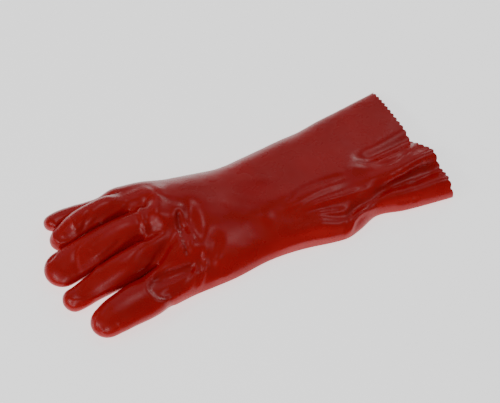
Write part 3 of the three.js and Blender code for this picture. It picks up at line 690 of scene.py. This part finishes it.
def placed(points):
    """Glove millimetres to frame metres."""
    return (points + [WEB_X, AXIS_Y, 0]) * MM


def shell_mesh():
    """The dipped shell before it is cut: outer skin, inner skin and the rim between them."""
    points, faces = subdivided(*glove_skin())
    points = points + [WEB_X, AXIS_Y, 0]
    soft_normals = normals_of(points, faces)
    outer = creased(points, faces)
    inner = outer - soft_normals * WALL
    count = len(outer)
    edges = dict.fromkeys(edge for face in faces for edge in zip(face, face[1:] + face[:1]))
    rim = [(a, b) for a, b in edges if (b, a) not in edges]
    closed = list(faces)
    closed += [tuple(k + count for k in face[::-1]) for face in faces]
    closed += [(b, a, a + count, b + count) for a, b in rim]
    mesh = mesh_of("glove_skin", np.vstack([outer, inner]) * MM, closed)
    kinds = np.zeros(len(closed), np.int32)
    kinds[len(faces) : 2 * len(faces)] = 1  # the inner skin is the liner
    mesh.materials.append(pvc_material())
    mesh.materials.append(liner_material())
    mesh.polygons.foreach_set("material_index", kinds)
    return mesh


def make_glove():
    """The shell with its cuff pinked."""
    glove = in_scene("glove_skin", shell_mesh())
    points, faces = pinking_cutter()
    cutter = in_scene("cutter", mesh_of("cutter", placed(points), faces))
    cut = glove.modifiers.new("pinking", "BOOLEAN")
    cut.operation = "DIFFERENCE"
    cut.solver = "EXACT"
    cut.object = cutter
    evaluated = glove.evaluated_get(bpy.context.evaluated_depsgraph_get())
    finished = bpy.data.meshes.new_from_object(evaluated)
    glove.modifiers.clear()
    glove.data = finished
    bpy.data.objects.remove(cutter)
    finished.polygons.foreach_set("use_smooth", np.ones(len(finished.polygons), bool))
    finished.set_sharp_from_angle(angle=math.radians(SHARP_ANGLE))
    return glove


def nodes_of(name):
    """A new material with its node tree and its shader."""
    material = bpy.data.materials.new(name)
    material.use_nodes = True
    tree = material.node_tree
    shader = tree.nodes["Principled BSDF"]
    return material, tree, shader


def noise(tree, source, scale, detail):
    """Cloudy noise over a source of places."""
    node = tree.nodes.new("ShaderNodeTexNoise")
    node.inputs["Scale"].default_value = scale
    node.inputs["Detail"].default_value = detail
    tree.links.new(source, node.inputs["Vector"])
    return node.outputs["Fac"]


def mapped(tree, value, low, high):
    """The usual range of a noise, about 0.3 to 0.7, spread from low to high."""
    node = tree.nodes.new("ShaderNodeMapRange")
    node.inputs["From Min"].default_value = 0.3
    node.inputs["From Max"].default_value = 0.7
    node.inputs["To Min"].default_value = low
    node.inputs["To Max"].default_value = high
    tree.links.new(value, node.inputs["Value"])
    return node.outputs["Result"]


def mixed(tree, share, first, second):
    """Two colours mixed by a share."""
    node = tree.nodes.new("ShaderNodeMix")
    node.data_type = "RGBA"
    tree.links.new(share, node.inputs["Factor"])
    for socket, colour in ((node.inputs["A"], first), (node.inputs["B"], second)):
        socket.default_value = (*colour, 1)
    return node.outputs["Result"]


def bump(tree, height, distance, strength, below=None):
    """A bumped normal, on top of the one below where there is one."""
    node = tree.nodes.new("ShaderNodeBump")
    node.inputs["Distance"].default_value = distance
    node.inputs["Strength"].default_value = strength
    tree.links.new(height, node.inputs["Height"])
    if below is not None:
        tree.links.new(below, node.inputs["Normal"])
    return node.outputs["Normal"]


def knit(tree, source, pitch):
    """Ribs of a knit that run along the glove, a pitch apart in metres."""
    node = tree.nodes.new("ShaderNodeTexWave")
    node.bands_direction = "Y"
    node.inputs["Scale"].default_value = 1 / (WAVE_RATE * pitch) * 2 * math.pi
    node.inputs["Distortion"].default_value = 1.5
    node.inputs["Detail"].default_value = 1.0
    node.inputs["Detail Scale"].default_value = 2.0
    tree.links.new(source, node.inputs["Vector"])
    return node.outputs["Fac"]


def pvc_material():
    """Red PVC: deep gloss with the knit showing faintly through."""
    material, tree, shader = nodes_of("red_pvc")
    place = tree.nodes.new("ShaderNodeTexCoord").outputs["Object"]
    cloudy = mapped(tree, noise(tree, place, scale=22.0, detail=3.0), 0.0, 1.0)
    colour = mixed(tree, cloudy, RED_DEEP, RED_BRIGHT)
    tree.links.new(colour, shader.inputs["Base Color"])
    roughness = mapped(tree, noise(tree, place, scale=60.0, detail=4.0), 0.24, 0.33)
    tree.links.new(roughness, shader.inputs["Roughness"])
    shader.inputs["Specular IOR Level"].default_value = 0.4
    ribs = bump(tree, knit(tree, place, pitch=0.0012), distance=0.0001, strength=0.12)
    grain = noise(tree, place, scale=900.0, detail=2.0)
    normal = bump(tree, grain, distance=0.0001, strength=0.12, below=ribs)
    tree.links.new(normal, shader.inputs["Normal"])
    return material


def liner_material():
    """The cotton knit of the liner, seen only inside the cuff."""
    material, tree, shader = nodes_of("cotton_knit")
    place = tree.nodes.new("ShaderNodeTexCoord").outputs["Object"]
    cloudy = mapped(tree, noise(tree, place, scale=60.0, detail=4.0), 0.0, 1.0)
    tree.links.new(mixed(tree, cloudy, COTTON_DARK, COTTON_PALE), shader.inputs["Base Color"])
    shader.inputs["Roughness"].default_value = 0.9
    ribs = bump(tree, knit(tree, place, pitch=0.0016), distance=0.0004, strength=0.7)
    fuzz = noise(tree, place, scale=1500.0, detail=2.0)
    normal = bump(tree, fuzz, distance=0.0003, strength=0.5, below=ribs)
    tree.links.new(normal, shader.inputs["Normal"])
    return material


def make_floor():
    """A plain pale floor just under the glove."""
    corners = FLOOR_HALF * np.array([(-1, -1, 0), (1, -1, 0), (1, 1, 0), (-1, 1, 0)])
    mesh = mesh_of("floor", corners - [0, 0, FLOOR_DROP], [(0, 1, 2, 3)])
    floor = in_scene("floor", mesh)
    material, _, shader = nodes_of("pale_floor")
    shader.inputs["Base Color"].default_value = (*FLOOR_COLOUR, 1)
    shader.inputs["Emission Color"].default_value = (1, 1, 1, 1)
    shader.inputs["Emission Strength"].default_value = FLOOR_GLOW
    shader.inputs["Roughness"].default_value = 0.9
    shader.inputs["Specular IOR Level"].default_value = 0.1
    mesh.materials.append(material)


def area_light(name, place, target, size, power):
    """A rectangular light at a place, facing its target."""
    light = bpy.data.lights.new(name, "AREA")
    light.shape = "RECTANGLE"
    light.size, light.size_y = size
    light.energy = power
    lamp = in_scene(name, light)
    lamp.location = place
    lamp.rotation_euler = (Vector(target) - Vector(place)).to_track_quat("-Z", "Y").to_euler()


def make_light():
    """The white world and the area lights."""
    world = bpy.data.worlds.new("studio")
    bpy.context.scene.world = world
    world.use_nodes = True
    background = world.node_tree.nodes["Background"]
    background.inputs["Color"].default_value = (1, 1, 1, 1)
    background.inputs["Strength"].default_value = WORLD_GLOW
    for light in LIGHTS:
        area_light(*light)


def make_camera():
    """The camera at the photograph's angle."""
    away = Vector(CAMERA_AWAY)
    data = bpy.data.cameras.new("camera")
    data.lens = CAMERA_LENS
    data.sensor_width = CAMERA_SENSOR
    camera = in_scene("camera", data)
    camera.location = Vector(CAMERA_TARGET) + away
    camera.rotation_euler = (-away).to_track_quat("-Z", "Y").to_euler()
    bpy.context.scene.camera = camera


glove = make_glove()
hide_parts("glove_shell")
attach(glove, "root")
make_floor()
make_light()
make_camera()
